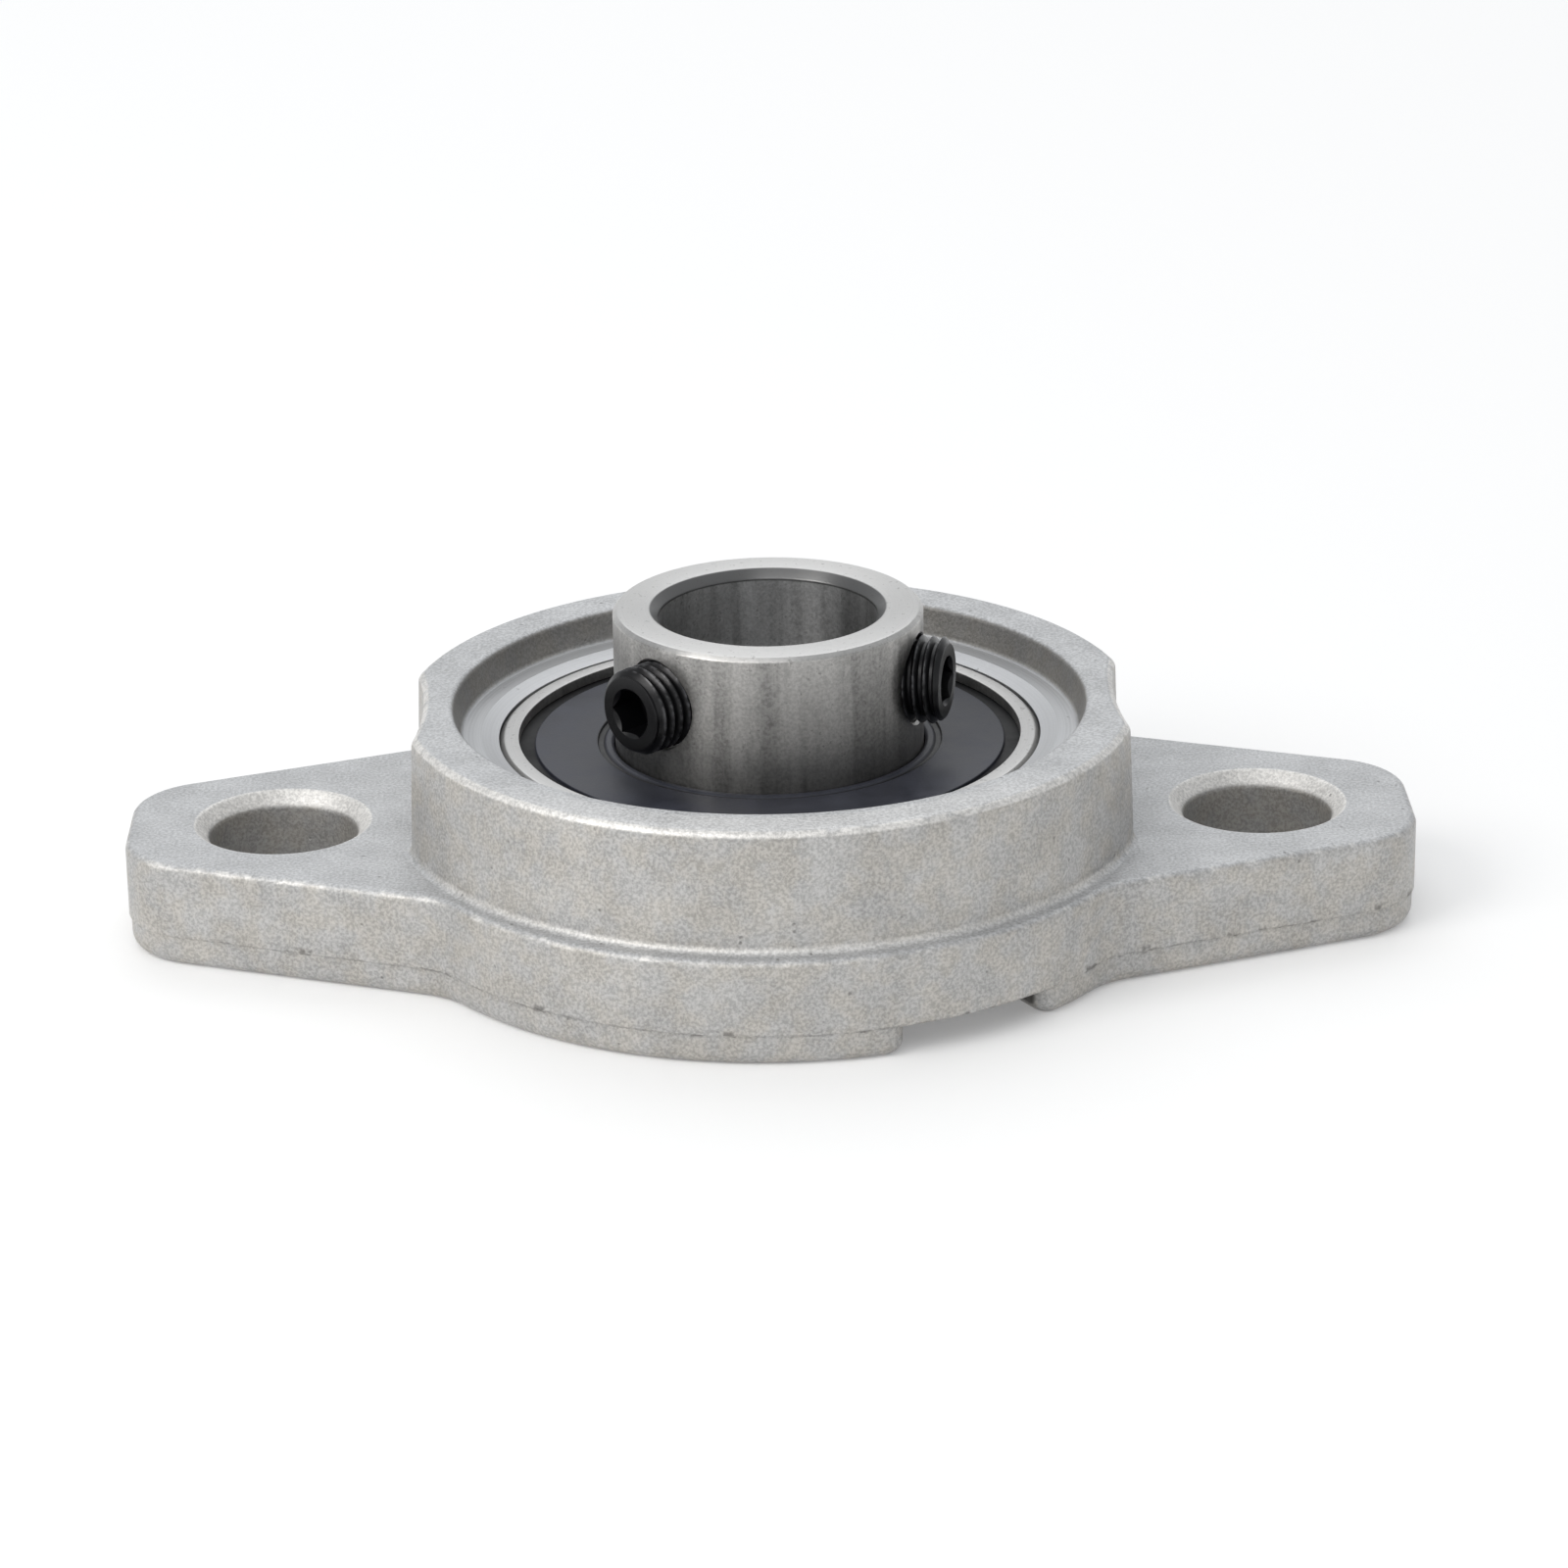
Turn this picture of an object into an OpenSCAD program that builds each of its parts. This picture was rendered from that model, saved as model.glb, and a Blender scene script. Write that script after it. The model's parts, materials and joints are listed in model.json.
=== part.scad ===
// Two-bolt flange bearing: a self-aligning ball insert in a die-cast flange housing.
// Origin: the shaft axis on the back (mounting) face. +Z points out of the front, X runs along the bolt holes.
// All sizes are in millimetres, angles in degrees.

/* [Flange] */
// Distance between the two bolt holes
bolt_spacing = 45; // [44:0.5:52]
// Bolt hole diameter
bolt_hole_d = 6.8; // [5:0.1:7.4]
// Radial width of the coned mouth of a bolt hole
bolt_mouth_w = 0.65; // [0.2:0.05:0.8]
// Depth of the coned mouth of a bolt hole
bolt_mouth_depth = 0.65; // [0.3:0.05:1.2]
// Thickness of the flange
flange_t = 5; // [4:0.1:6.5]
// From a bolt hole's axis to the end of its ear
ear_end = 7.1; // [6.5:0.1:9]
// Width of an ear across its bolt hole
ear_w = 14.1; // [13:0.1:16]
// Slope of an ear's side towards its end
ear_taper = 20.6; // [14:0.2:24]
// Corner radius at the end of an ear
ear_corner_r = 2.5; // [1:0.1:3]
// Radius of the hollow corner between an ear and the round middle
waist_r = 4; // [1:0.5:6]
// Width of the flange rim outside the boss
rim_w = 0.9; // [0.6:0.1:3]
// Height of the die's parting line above the back face
parting_h = 1.5; // [1:0.1:2.5]
// How far the casting steps in below the parting line
parting_step = 0.1; // [0.05:0.05:0.3]

/* [Boss] */
// Wall of the boss at its top edge
boss_wall = 2.3; // [1.8:0.1:4]
// How much further out the boss stands at its base
boss_spread = 0.2; // [0.1:0.05:0.6]
// Bevel of the boss's outer top edge
boss_edge = 0.3; // [0.1:0.05:0.5]
// Fillet where the boss meets the flange
base_fillet_r = 0.35; // [0.2:0.05:0.5]
// Depth of the two side flats at the top of the boss
flat_depth = 1; // [0.5:0.1:1.3]
// Depth that the side flats still have at their lower end
flat_runout = 1; // [0.5:0.05:1.2]
// Depth of the front recess, from the top of the boss to the seat's ledge
recess_depth = 1.45; // [0.8:0.05:3]
// How much wider the recess is at its mouth
recess_flare = 0.37; // [0.1:0.01:0.6]
// Radial width of the ledge between the seat's sphere and the recess wall
ledge_w = 1.13; // [0.6:0.01:2.5]
// How far the ledge stands above the outer ring's face
ledge_rise = 0.15; // [0.05:0.05:0.5]

/* [Seat] */
// Height of the seat's centre above the back face
seat_h = 5; // [4.5:0.1:7]
// Gap between the seat's sphere and the insert's sphere
seat_gap = 0.03; // [0.01:0.01:0.05]
// Direction of the loading slots, from the bolt line
slot_turn = 60; // [50:5:130]
// Radial width of the machined bevel between the ledge and the seat
seat_bevel_w = 0.8; // [0.3:0.05:1]
// Depth of the machined bevel between the ledge and the seat
seat_bevel_drop = 0.2; // [0.1:0.05:0.4]
// Room that a loading slot leaves beside the outer ring turned on edge
slot_room = 0.2; // [0.1:0.05:0.6]
// Width of the notch where a loading slot runs out through the rim
notch_w = 6.8; // [5:0.1:8]

/* [Rings] */
// Shaft bore diameter
bore_d = 10; // [9:0.1:10.6]
// Diameter of the insert's sphere
insert_od = 26; // [25.6:0.1:27]
// Width of the outer ring
outer_ring_w = 8; // [7.8:0.1:9]
// From the seat's centre to the front end of the inner ring's collar
collar_reach = 10; // [9.6:0.1:13]
// From the seat's centre to the back end of the inner ring
tail_reach = 4; // [3.6:0.1:4.4]
// Chamfer at both ends of the shaft bore
bore_chamfer = 0.25; // [0.1:0.05:0.5]
// Bevel of the rings' outer edges
ring_edge = 0.2; // [0.1:0.05:0.35]
// Depth of the inner raceway below the inner ring's outside
inner_race_depth = 0.48; // [0.35:0.01:0.8]
// Depth of the outer raceway behind the outer ring's shoulder
outer_race_depth = 0.78; // [0.5:0.01:0.95]
// Gap between a ball and the floor of a raceway
race_gap = 0.02; // [0.01:0.01:0.03]
// Radius of a raceway beyond that of a ball
race_ease = 0.05; // [0.04:0.01:0.15]

/* [Balls and cage] */
// Ball diameter
ball_d = 4.7625; // [4.5:0.05:4.9]
// Thickness of the cage's sheet steel
sheet_t = 0.4; // [0.3:0.05:0.45]
// Gap between a ball and its pocket
pocket_gap = 0.08; // [0.04:0.01:0.12]
// Radial width of the cage's ribbon
ribbon_w = 2; // [1.7:0.1:2.4]
// Rivet diameter
rivet_d = 0.8; // [0.6:0.05:0.9]
// Gap between a rivet and its hole
rivet_gap = 0.02; // [0.01:0.01:0.04]
// Radial overhang of a rivet's head
rivet_lip = 0.22; // [0.1:0.02:0.26]
// Height of a rivet's head
rivet_head_h = 0.25; // [0.15:0.05:0.35]

/* [Seals] */
// Radial width of the outer ring's flat face outside a seal
face_land = 0.87; // [0.6:0.01:1]
// Gap between the cage and a seal's core
seal_gap = 0.2; // [0.1:0.05:0.3]
// Thickness of a seal's sheet steel core
core_t = 0.3; // [0.2:0.05:0.35]
// Thickness of the rubber over the core
rubber_t = 0.3; // [0.2:0.05:0.35]
// Depth of the groove that holds a seal's rim
seal_groove_depth = 0.25; // [0.15:0.05:0.4]
// Gap around a seal's rim in its groove
rim_gap = 0.05; // [0.03:0.01:0.08]
// Width of the sunk band around a seal's face
band_w = 0.73; // [0.5:0.01:0.9]
// Depth of the sunk band around a seal's face
band_drop = 0.2; // [0.1:0.05:0.25]
// Gap between a seal's lip and the inner ring
lip_gap = 0.05; // [0.03:0.01:0.1]
// Radial width of the raised bead at a seal's lip
lip_bead_w = 0.5; // [0.3:0.05:0.6]
// Radial width of the groove behind the lip's bead
lip_groove_w = 0.25; // [0.15:0.05:0.35]
// Depth of the groove behind the lip's bead
lip_groove_depth = 0.15; // [0.05:0.05:0.18]

/* [Set screws] */
// Outside diameter of a set screw
screw_d = 4; // [3:0.1:4.2]
// Length of a set screw
screw_len = 3.3; // [3:0.1:5]
// Gap between a set screw and its hole
screw_gap = 0.05; // [0.02:0.01:0.1]
// From the collar's front end to the axis of the set screws
screw_drop = 2.9; // [2.6:0.1:3.6]
// Angle between the two set screws
screw_spread = 120; // [90:5:130]
// How far the inner ring is turned, from the side opposite +Y towards +X
collar_turn = 13; // [-180:0.5:180]
// How far the left set screw's tip stands back from the shaft bore
left_setback = 0.35; // [0:0.05:1]
// How far the right set screw's tip stands back from the shaft bore
right_setback = 0.1; // [0:0.05:1]
// Width across the flats of a set screw's hexagon socket
socket_af = 2; // [1.5:0.1:2]
// Depth of a set screw's hexagon socket
socket_depth = 1.6; // [1:0.1:1.8]
// Bevel of a set screw's outer end
screw_edge = 0.3; // [0.1:0.05:0.4]
// Height of a set screw's coned point
point_h = 0.7; // [0.3:0.1:0.9]
// Depth of the cup in a set screw's point
cup_depth = 0.4; // [0.2:0.1:0.5]

/* [Hidden] */
$fn = 96;
ball_count = 7;
// How far a cutting shape runs past the face that it cuts
cut = 0.1;

cast_grey = "#c4c4c0";
ground_steel = "#d3d5d8";
ball_steel = "#e4e6ea";
sheet_steel = "#b4aea0";
seal_black = "#25282e";
oxide_black = "#1c1c1e";

// Rings: the balls run midway between the bore and the insert's sphere
bore_r = bore_d / 2;
insert_r = insert_od / 2;
ball_r = ball_d / 2;
pitch_r = (bore_r + insert_r) / 2;
race_r = ball_r + race_ease;
inner_race_floor_r = pitch_r - ball_r - race_gap;
outer_race_floor_r = pitch_r + ball_r + race_gap;
collar_r = inner_race_floor_r + inner_race_depth;
shoulder_r = outer_race_floor_r - outer_race_depth;
outer_half_w = outer_ring_w / 2;
outer_face_r = sqrt(pow(insert_r, 2) - pow(outer_half_w, 2));

// Cage
pocket_r = ball_r + pocket_gap;
cage_half_h = pocket_r + sheet_t;
ribbon_in_r = pitch_r - ribbon_w / 2;
ribbon_out_r = pitch_r + ribbon_w / 2;
rivet_r = rivet_d / 2;
rivet_head_r = rivet_r + rivet_lip;
rivet_crown_r = rivet_r;

// Seals, counted from the seat's centre towards the face
core_z = cage_half_h + seal_gap;
core_top_z = core_z + core_t;
seal_face_z = core_top_z + rubber_t;
seal_seat_z = core_z - rim_gap;
band_z = seal_face_z - band_drop;
seal_mouth_r = outer_face_r - face_land;
seal_groove_r = seal_mouth_r + seal_groove_depth;
seal_groove_top_z = band_z + rim_gap;
seal_rim_r = seal_groove_r - rim_gap;
seal_face_out_r = seal_mouth_r - band_w;
lip_r = collar_r + lip_gap;
lip_bead_out_r = lip_r + lip_bead_w;
seal_face_in_r = lip_bead_out_r + lip_groove_w;
core_in_r = seal_face_in_r;
core_out_r = (seal_face_out_r + seal_mouth_r) / 2;
bead_edge = lip_bead_w / 4;

// Housing, built outwards from the seat
seat_r = insert_r + seat_gap;
ledge_z = seat_h + outer_half_w + ledge_rise;
seat_bevel_z = ledge_z - seat_bevel_drop;
seat_bevel_r = sqrt(pow(seat_r, 2) - pow(seat_bevel_z - seat_h, 2));
boss_top_z = ledge_z + recess_depth;
recess_floor_r = insert_r + ledge_w;
recess_mouth_r = recess_floor_r + recess_flare;
boss_top_r = recess_mouth_r + boss_wall;
boss_base_r = boss_top_r + boss_spread;
flange_r = boss_base_r + rim_w;
slot_w = outer_ring_w + slot_room;
bolt_x = bolt_spacing / 2;
bolt_r = bolt_hole_d / 2;
ear_x = bolt_x + ear_end;

// An ear's side is a straight line: its outward normal, its run towards the tip and its distance from the axis
side_normal = [sin(ear_taper), cos(ear_taper)];
side_run = [cos(ear_taper), -sin(ear_taper)];
side_dist = [bolt_x, ear_w / 2] * side_normal;

// Set screws
screw_r = screw_d / 2;
screw_hole_r = screw_r + screw_gap;
screw_z = collar_reach - screw_drop;
left_screw_dir = collar_turn - 90 - screw_spread / 2;
right_screw_dir = collar_turn - 90 + screw_spread / 2;
socket_r = socket_af / 2 / cos(30);

// Moves a shape from the axis origin to the seat's centre
module at_seat() {
    translate([0, 0, seat_h]) children();
}

// Repeats a shape at each ball's place, or half a pitch on, at each rivet's place
module around_pitch(half_steps = 0) {
    for (i = [0 : ball_count - 1])
        rotate([0, 0, (i + half_steps / 2) * 360 / ball_count])
            translate([pitch_r, 0, 0])
                children();
}

// Lays a shape's +Z along a set screw's axis, outwards
module along_screw(dir) {
    translate([0, 0, screw_z])
        rotate([0, 0, dir])
            rotate([0, 90, 0])
                children();
}

// One quarter of the flange's outline, drawn in by the given amount
module flange_quarter(inset) {
    middle_r = flange_r - inset;
    end_x = ear_x - inset;
    corner_r = ear_corner_r - inset;
    hollow_r = waist_r + inset;
    side_d = side_dist - inset;
    corner_x = end_x - corner_r;
    corner_y = (side_d - corner_r - corner_x * side_normal.x) / side_normal.y;
    corner = [corner_x, corner_y];
    hollow_run = sqrt(pow(middle_r + hollow_r, 2) - pow(side_d + hollow_r, 2));
    hollow = (side_d + hollow_r) * side_normal + hollow_run * side_run;
    difference() {
        polygon([
            [0, 0],
            [0, side_d - corner_r],
            hollow * middle_r / (middle_r + hollow_r),
            hollow,
            hollow - hollow_r * side_normal,
            corner + corner_r * side_normal,
            corner + [corner_r, 0],
            [end_x, 0],
        ]);
        translate(hollow) circle(r = hollow_r);
    }
    translate(corner) circle(r = corner_r);
}

module flange_outline(inset) {
    circle(r = flange_r - inset);
    for (mx = [0, 1], my = [0, 1])
        mirror([mx, 0, 0])
            mirror([0, my, 0])
                flange_quarter(inset);
}

// The flange plate: the rear die half leaves it a little smaller below the parting line
module flange() {
    linear_extrude(parting_h) flange_outline(parting_step);
    translate([0, 0, parting_h])
        linear_extrude(flange_t - parting_h) flange_outline(0);
}

// The round boss with its base fillet, drafted wall, bevelled top edge and side flats
module boss() {
    foot_r = boss_base_r + base_fillet_r;
    foot_z = flange_t + base_fillet_r;
    difference() {
        rotate_extrude() difference() {
            polygon([
                [0, parting_h],
                [foot_r, parting_h],
                [foot_r, foot_z],
                [boss_base_r, foot_z],
                [boss_top_r, boss_top_z - boss_edge],
                [boss_top_r - boss_edge, boss_top_z],
                [0, boss_top_z],
            ]);
            translate([foot_r, foot_z]) circle(r = base_fillet_r);
        }
        for (mx = [0, 1])
            mirror([mx, 0, 0])
                rotate([90, 0, 0])
                    linear_extrude(2 * boss_base_r, center = true)
                        polygon([
                            [boss_base_r - flat_runout, flange_t - cut],
                            [boss_base_r + flat_depth, flange_t - cut],
                            [boss_base_r + flat_depth, boss_top_z + cut],
                            [boss_top_r - flat_depth, boss_top_z + cut],
                            [boss_top_r - flat_depth, boss_top_z],
                        ]);
    }
}

// The ring is loaded on edge through two slots: wide as the ring, up to the seat's centre,
// and run out through the rim in a narrower notch up to the parting line
module loading_slots() {
    rotate([0, 0, -slot_turn]) {
        intersection() {
            translate([0, 0, -cut]) cylinder(h = seat_h + cut, r = seat_r);
            translate([-insert_od, -slot_w / 2, -cut])
                cube([2 * insert_od, slot_w, seat_h + cut]);
        }
        translate([-flange_r - cut, -notch_w / 2, -cut])
            cube([2 * (flange_r + cut), notch_w, parting_h + cut]);
    }
}

// A cutting cone: radius r at its lower end, wider by flare at depth above, and run on past that face
module coned_cut(r, flare, depth) {
    cylinder(h = depth + cut, r1 = r, r2 = r + flare * (1 + cut / depth));
}

module bolt_hole() {
    translate([0, 0, -cut]) cylinder(h = flange_t + 2 * cut, r = bolt_r);
    translate([0, 0, flange_t - bolt_mouth_depth]) coned_cut(bolt_r, bolt_mouth_w, bolt_mouth_depth);
}

module housing() {
    color(cast_grey) difference() {
        union() {
            flange();
            boss();
        }
        at_seat() sphere(r = seat_r);
        translate([0, 0, seat_bevel_z]) coned_cut(seat_bevel_r, seat_bevel_w, seat_bevel_drop);
        translate([0, 0, ledge_z]) coned_cut(recess_floor_r, recess_flare, recess_depth);
        loading_slots();
        for (x = [-bolt_x, bolt_x]) translate([x, 0, 0]) bolt_hole();
    }
}

// The groove that the balls run in, cut around the axis
module raceway(centre_r) {
    rotate_extrude() translate([centre_r, 0]) circle(r = race_r);
}

// Outer ring: spherical outside, deep raceway, and at each side a stepped groove for a seal's rim
module outer_ring() {
    edge_r = outer_face_r - ring_edge;
    color(ground_steel) at_seat() difference() {
        intersection() {
            sphere(r = insert_r);
            rotate_extrude() polygon([
                [0, -outer_half_w],
                [edge_r, -outer_half_w],
                [edge_r + outer_half_w, 0],
                [edge_r, outer_half_w],
                [0, outer_half_w],
            ]);
        }
        cylinder(h = outer_ring_w + 2 * cut, r = shoulder_r, center = true);
        raceway(outer_race_floor_r - race_r);
        for (mz = [0, 1]) mirror([0, 0, mz]) translate([0, 0, seal_seat_z]) {
            cylinder(h = outer_half_w - seal_seat_z + cut, r = seal_mouth_r);
            cylinder(h = seal_groove_top_z - seal_seat_z, r = seal_groove_r);
        }
    }
}

// Inner ring: shaft bore, raceway, and a long collar drilled for the two set screws
module inner_ring() {
    color(ground_steel) at_seat() difference() {
        rotate_extrude() polygon([
            [bore_r, -tail_reach + bore_chamfer],
            [bore_r + bore_chamfer, -tail_reach],
            [collar_r - ring_edge, -tail_reach],
            [collar_r, -tail_reach + ring_edge],
            [collar_r, collar_reach - ring_edge],
            [collar_r - ring_edge, collar_reach],
            [bore_r + bore_chamfer, collar_reach],
            [bore_r, collar_reach - bore_chamfer],
        ]);
        raceway(inner_race_floor_r + race_r);
        for (dir = [left_screw_dir, right_screw_dir])
            along_screw(dir) cylinder(h = collar_r + cut, r = screw_hole_r);
    }
}

module ball(number) {
    color(ball_steel) at_seat()
        rotate([0, 0, (number - 1) * 360 / ball_count])
            translate([pitch_r, 0, 0])
                sphere(r = ball_r);
}

// Half of the ribbon cage: a flat ring of sheet with a domed pocket over each ball
module cage_half() {
    difference() {
        intersection() {
            union() {
                cylinder(h = sheet_t, r = ribbon_out_r + cut);
                around_pitch() sphere(r = cage_half_h);
            }
            cylinder(h = cage_half_h + cut, r = ribbon_out_r);
        }
        translate([0, 0, -cut]) cylinder(h = cage_half_h + 3 * cut, r = ribbon_in_r);
        around_pitch() sphere(r = pocket_r);
        around_pitch(1) cylinder(h = 2 * (sheet_t + cut), r = rivet_r + rivet_gap, center = true);
    }
}

module cage_upper() {
    color(sheet_steel) at_seat() cage_half();
}

module cage_lower() {
    color(sheet_steel) at_seat() mirror([0, 0, 1]) cage_half();
}

// One rivet between each two pockets, headed at both ends
module cage_rivets() {
    color(sheet_steel) at_seat() around_pitch(1) {
        cylinder(h = 2 * sheet_t, r = rivet_r, center = true);
        for (mz = [0, 1]) mirror([0, 0, mz])
            translate([0, 0, sheet_t])
                cylinder(h = rivet_head_h, r1 = rivet_head_r, r2 = rivet_crown_r);
    }
}

// A seal's stiffener: a flat washer that the rubber is moulded round
module seal_core() {
    rotate_extrude() translate([core_in_r, core_z]) square([core_out_r - core_in_r, core_t]);
}

// A seal's rubber: rim in the ring's groove, sunk band, flat face, and a beaded lip at the inner ring
module seal_rubber() {
    groove_z = seal_face_z - lip_groove_depth;
    bead_z = groove_z + bead_edge;
    rotate_extrude() polygon([
        [core_out_r, seal_seat_z],
        [seal_rim_r, seal_seat_z],
        [seal_rim_r, band_z],
        [seal_face_out_r, band_z],
        [seal_face_out_r, seal_face_z],
        [seal_face_in_r, seal_face_z],
        [seal_face_in_r, groove_z],
        [lip_bead_out_r, groove_z],
        [lip_bead_out_r - bead_edge, bead_z],
        [lip_r + bead_edge, bead_z],
        [lip_r, groove_z],
        [lip_r, core_top_z],
        [lip_bead_out_r - bead_edge, core_z],
        [core_in_r, core_z],
        [core_in_r, core_top_z],
        [core_out_r, core_top_z],
    ]);
}

module front_seal_core() {
    color(sheet_steel) at_seat() seal_core();
}

module front_seal_rubber() {
    color(seal_black) at_seat() seal_rubber();
}

module rear_seal_core() {
    color(sheet_steel) at_seat() mirror([0, 0, 1]) seal_core();
}

module rear_seal_rubber() {
    color(seal_black) at_seat() mirror([0, 0, 1]) seal_rubber();
}

// A headless set screw: bevelled outer end with a hexagon socket, coned point with a cup
module set_screw(dir, setback) {
    point_r = screw_r - point_h;
    color(oxide_black) at_seat() along_screw(dir) translate([0, 0, bore_r + setback]) difference() {
        rotate_extrude() polygon([
            [0, cup_depth],
            [point_r, 0],
            [screw_r, point_h],
            [screw_r, screw_len - screw_edge],
            [screw_r - screw_edge, screw_len],
            [0, screw_len],
        ]);
        translate([0, 0, screw_len - socket_depth])
            cylinder(h = socket_depth + cut, r = socket_r, $fn = 6);
    }
}

module set_screw_left() {
    set_screw(left_screw_dir, left_setback);
}

module set_screw_right() {
    set_screw(right_screw_dir, right_setback);
}

housing();
outer_ring();
inner_ring();
for (number = [1 : ball_count])
    ball(number);
cage_upper();
cage_lower();
cage_rivets();
front_seal_core();
front_seal_rubber();
rear_seal_core();
rear_seal_rubber();
set_screw_left();
set_screw_right();
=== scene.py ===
# Two-bolt flange bearing: the finished pieces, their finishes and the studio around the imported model
import json
import math
from collections import namedtuple

import bmesh
import bpy
from mathutils import Matrix, Vector


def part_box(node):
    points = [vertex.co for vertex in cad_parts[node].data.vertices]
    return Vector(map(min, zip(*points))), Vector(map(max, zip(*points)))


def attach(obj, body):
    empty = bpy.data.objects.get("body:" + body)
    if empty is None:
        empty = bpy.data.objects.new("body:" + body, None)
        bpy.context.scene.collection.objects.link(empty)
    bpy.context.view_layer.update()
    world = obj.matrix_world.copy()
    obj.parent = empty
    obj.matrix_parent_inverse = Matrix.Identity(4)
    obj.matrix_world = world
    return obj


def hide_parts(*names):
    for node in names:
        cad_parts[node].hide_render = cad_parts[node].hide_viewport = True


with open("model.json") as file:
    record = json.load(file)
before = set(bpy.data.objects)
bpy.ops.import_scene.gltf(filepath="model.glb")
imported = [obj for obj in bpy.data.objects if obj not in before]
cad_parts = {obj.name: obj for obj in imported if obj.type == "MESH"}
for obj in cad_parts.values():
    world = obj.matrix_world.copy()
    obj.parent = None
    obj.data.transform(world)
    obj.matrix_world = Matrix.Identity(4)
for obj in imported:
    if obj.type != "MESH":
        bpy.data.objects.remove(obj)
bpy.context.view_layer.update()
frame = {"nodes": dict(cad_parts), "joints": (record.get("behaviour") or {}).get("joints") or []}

# Pieces are drawn in millimetres and brought to metres when they are finished
MM = 0.001
LATHE_STEPS = 360
OVERSHOOT = 1.0
TOUCH = 0.002

# Degrees: edges sharper than a smooth angle stay crisp, and faces within the flat angle become one
SMOOTH_ANGLE = 32
CASTING_SMOOTH_ANGLE = 13
FLAT_ANGLE = 0.05


def reach(node):
    """A node's lowest and highest corners, in millimetres."""
    return [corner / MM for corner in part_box(node)]


def joint_called(name):
    return next(joint for joint in frame["joints"] if joint["name"] == name)


# Reaches taken from the frame
_, housing_high = reach("housing")
ring_low, ring_high = reach("outer_ring")
collar_low, collar_high = reach("inner_ring")
EAR_X = housing_high.x
FLANGE_R = housing_high.y
BOSS_TOP_Z = housing_high.z
RING_HALF_W = (ring_high.z - ring_low.z) / 2
COLLAR_TOP_Z = collar_high.z
COLLAR_FOOT_Z = collar_low.z
SEAT_Z = joint_called("insert_tilt")["pos_m"][2] / MM

# Flange
FLANGE_T = 5.0
BOLT_X = 22.5
BOLT_R = 3.4
BOLT_MOUTH_R = 4.05
BOLT_MOUTH_DEPTH = 0.65
BOLT_MOUTH_SOFT = 0.12
BOLT_FOOT_EDGE = 0.25
EAR_W = 14.1
EAR_TAPER = 20.6
EAR_CORNER_R = 3.7
WAIST_R = 4.0
PARTING_Z = 1.5
PARTING_STEP = 0.1
PARTING_SOFT = 0.04
FLANGE_EDGE_R = 0.38
FLANGE_FOOT_R = 0.7

# Boss and recess
BOSS_TOP_R = 16.8
BOSS_BASE_R = 17.0
BOSS_EDGE_R = 0.45
BASE_FILLET_R = 0.35
FLAT_X = 15.86
FLAT_HOLLOW_R = 25.0
FLAT_CORNER_R = 1.2
RECESS_MOUTH_R = 14.5
RECESS_FLOOR_R = 14.13
RECESS_EDGE_R = 0.3
RECESS_CORNER_R = 0.12

# Seat
INSERT_R = 13.0
SEAT_R = 13.03
LEDGE_Z = 9.15
SEAT_BEVEL_W = 0.8
SEAT_BEVEL_DROP = 0.2
SEAT_FOOT_EDGE = 0.25
SLOT_TURN = 60
SLOT_W = 8.2
NOTCH_W = 6.8
NOTCH_CORNER_R = 0.9

# Rings
BORE_R = 5.0
BORE_CHAMFER = 0.4
COLLAR_R = 7.07875
RING_EDGE = 0.2
RING_BEVEL_H = 0.29
EDGE_SOFT = 0.05
BALL_R = 4.7625 / 2
PITCH_R = 9.0
RACE_GAP = 0.02
RACE_R = BALL_R + 0.05
SHOULDER_R = 10.62125

# Seals, with heights above the middle of the insert
SEAL_MOUTH_R = 11.4993
SEAL_GROOVE_R = SEAL_MOUTH_R + 0.25
SEAL_RIM_R = SEAL_GROOVE_R - 0.05
SEAL_FACE_OUT_R = SEAL_MOUTH_R - 0.73
SEAL_LIP_R = COLLAR_R + 0.05
SEAL_BEAD_OUT_R = SEAL_LIP_R + 0.5
SEAL_FACE_IN_R = SEAL_BEAD_OUT_R + 0.25
CORE_OUT_R = (SEAL_FACE_OUT_R + SEAL_MOUTH_R) / 2
CORE_Z = BALL_R + 0.08 + 0.4 + 0.2
CORE_TOP_Z = CORE_Z + 0.3
SEAL_FACE_Z = CORE_TOP_Z + 0.3
SEAL_SEAT_Z = CORE_Z - 0.05
SEAL_BAND_Z = SEAL_FACE_Z - 0.2
SEAL_GROOVE_TOP_Z = SEAL_BAND_Z + 0.05
LIP_GROOVE_Z = SEAL_FACE_Z - 0.15
LIP_BEAD_Z = LIP_GROOVE_Z + 0.125
RUBBER_SOFT = 0.06

# Set screws
SCREW_R = 2.0
SCREW_LEN = 3.3
SCREW_HOLE_R = 2.05
SCREW_MOUTH = 0.12
SCREW_Z = 12.1
SCREW_DIRECTIONS = {"left": -137.0, "right": -17.0}
SCREW_SETBACKS = {"left": 0.35, "right": 0.1}
THREAD_PITCH = 0.5
THREAD_DEPTH = 0.28
THREAD_STEPS = 96
THREAD_CLEAR = 0.01
SOCKET_AF = 2.0
SOCKET_R = SOCKET_AF / 2 / math.cos(math.radians(30))
SOCKET_DEPTH = 1.6
SOCKET_MOUTH = 0.12
POINT_H = 0.7
CUP_DEPTH = 0.4
END_EDGE = 0.3

# Ranges over which the front rim's painted highlight and the collar's darkening towards its foot fade
# from full to none
RIM_HIGHLIGHT_Y = (-15.0, -9.0)
COLLAR_DARKENING_Z = (9.0, 11.2)

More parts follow.
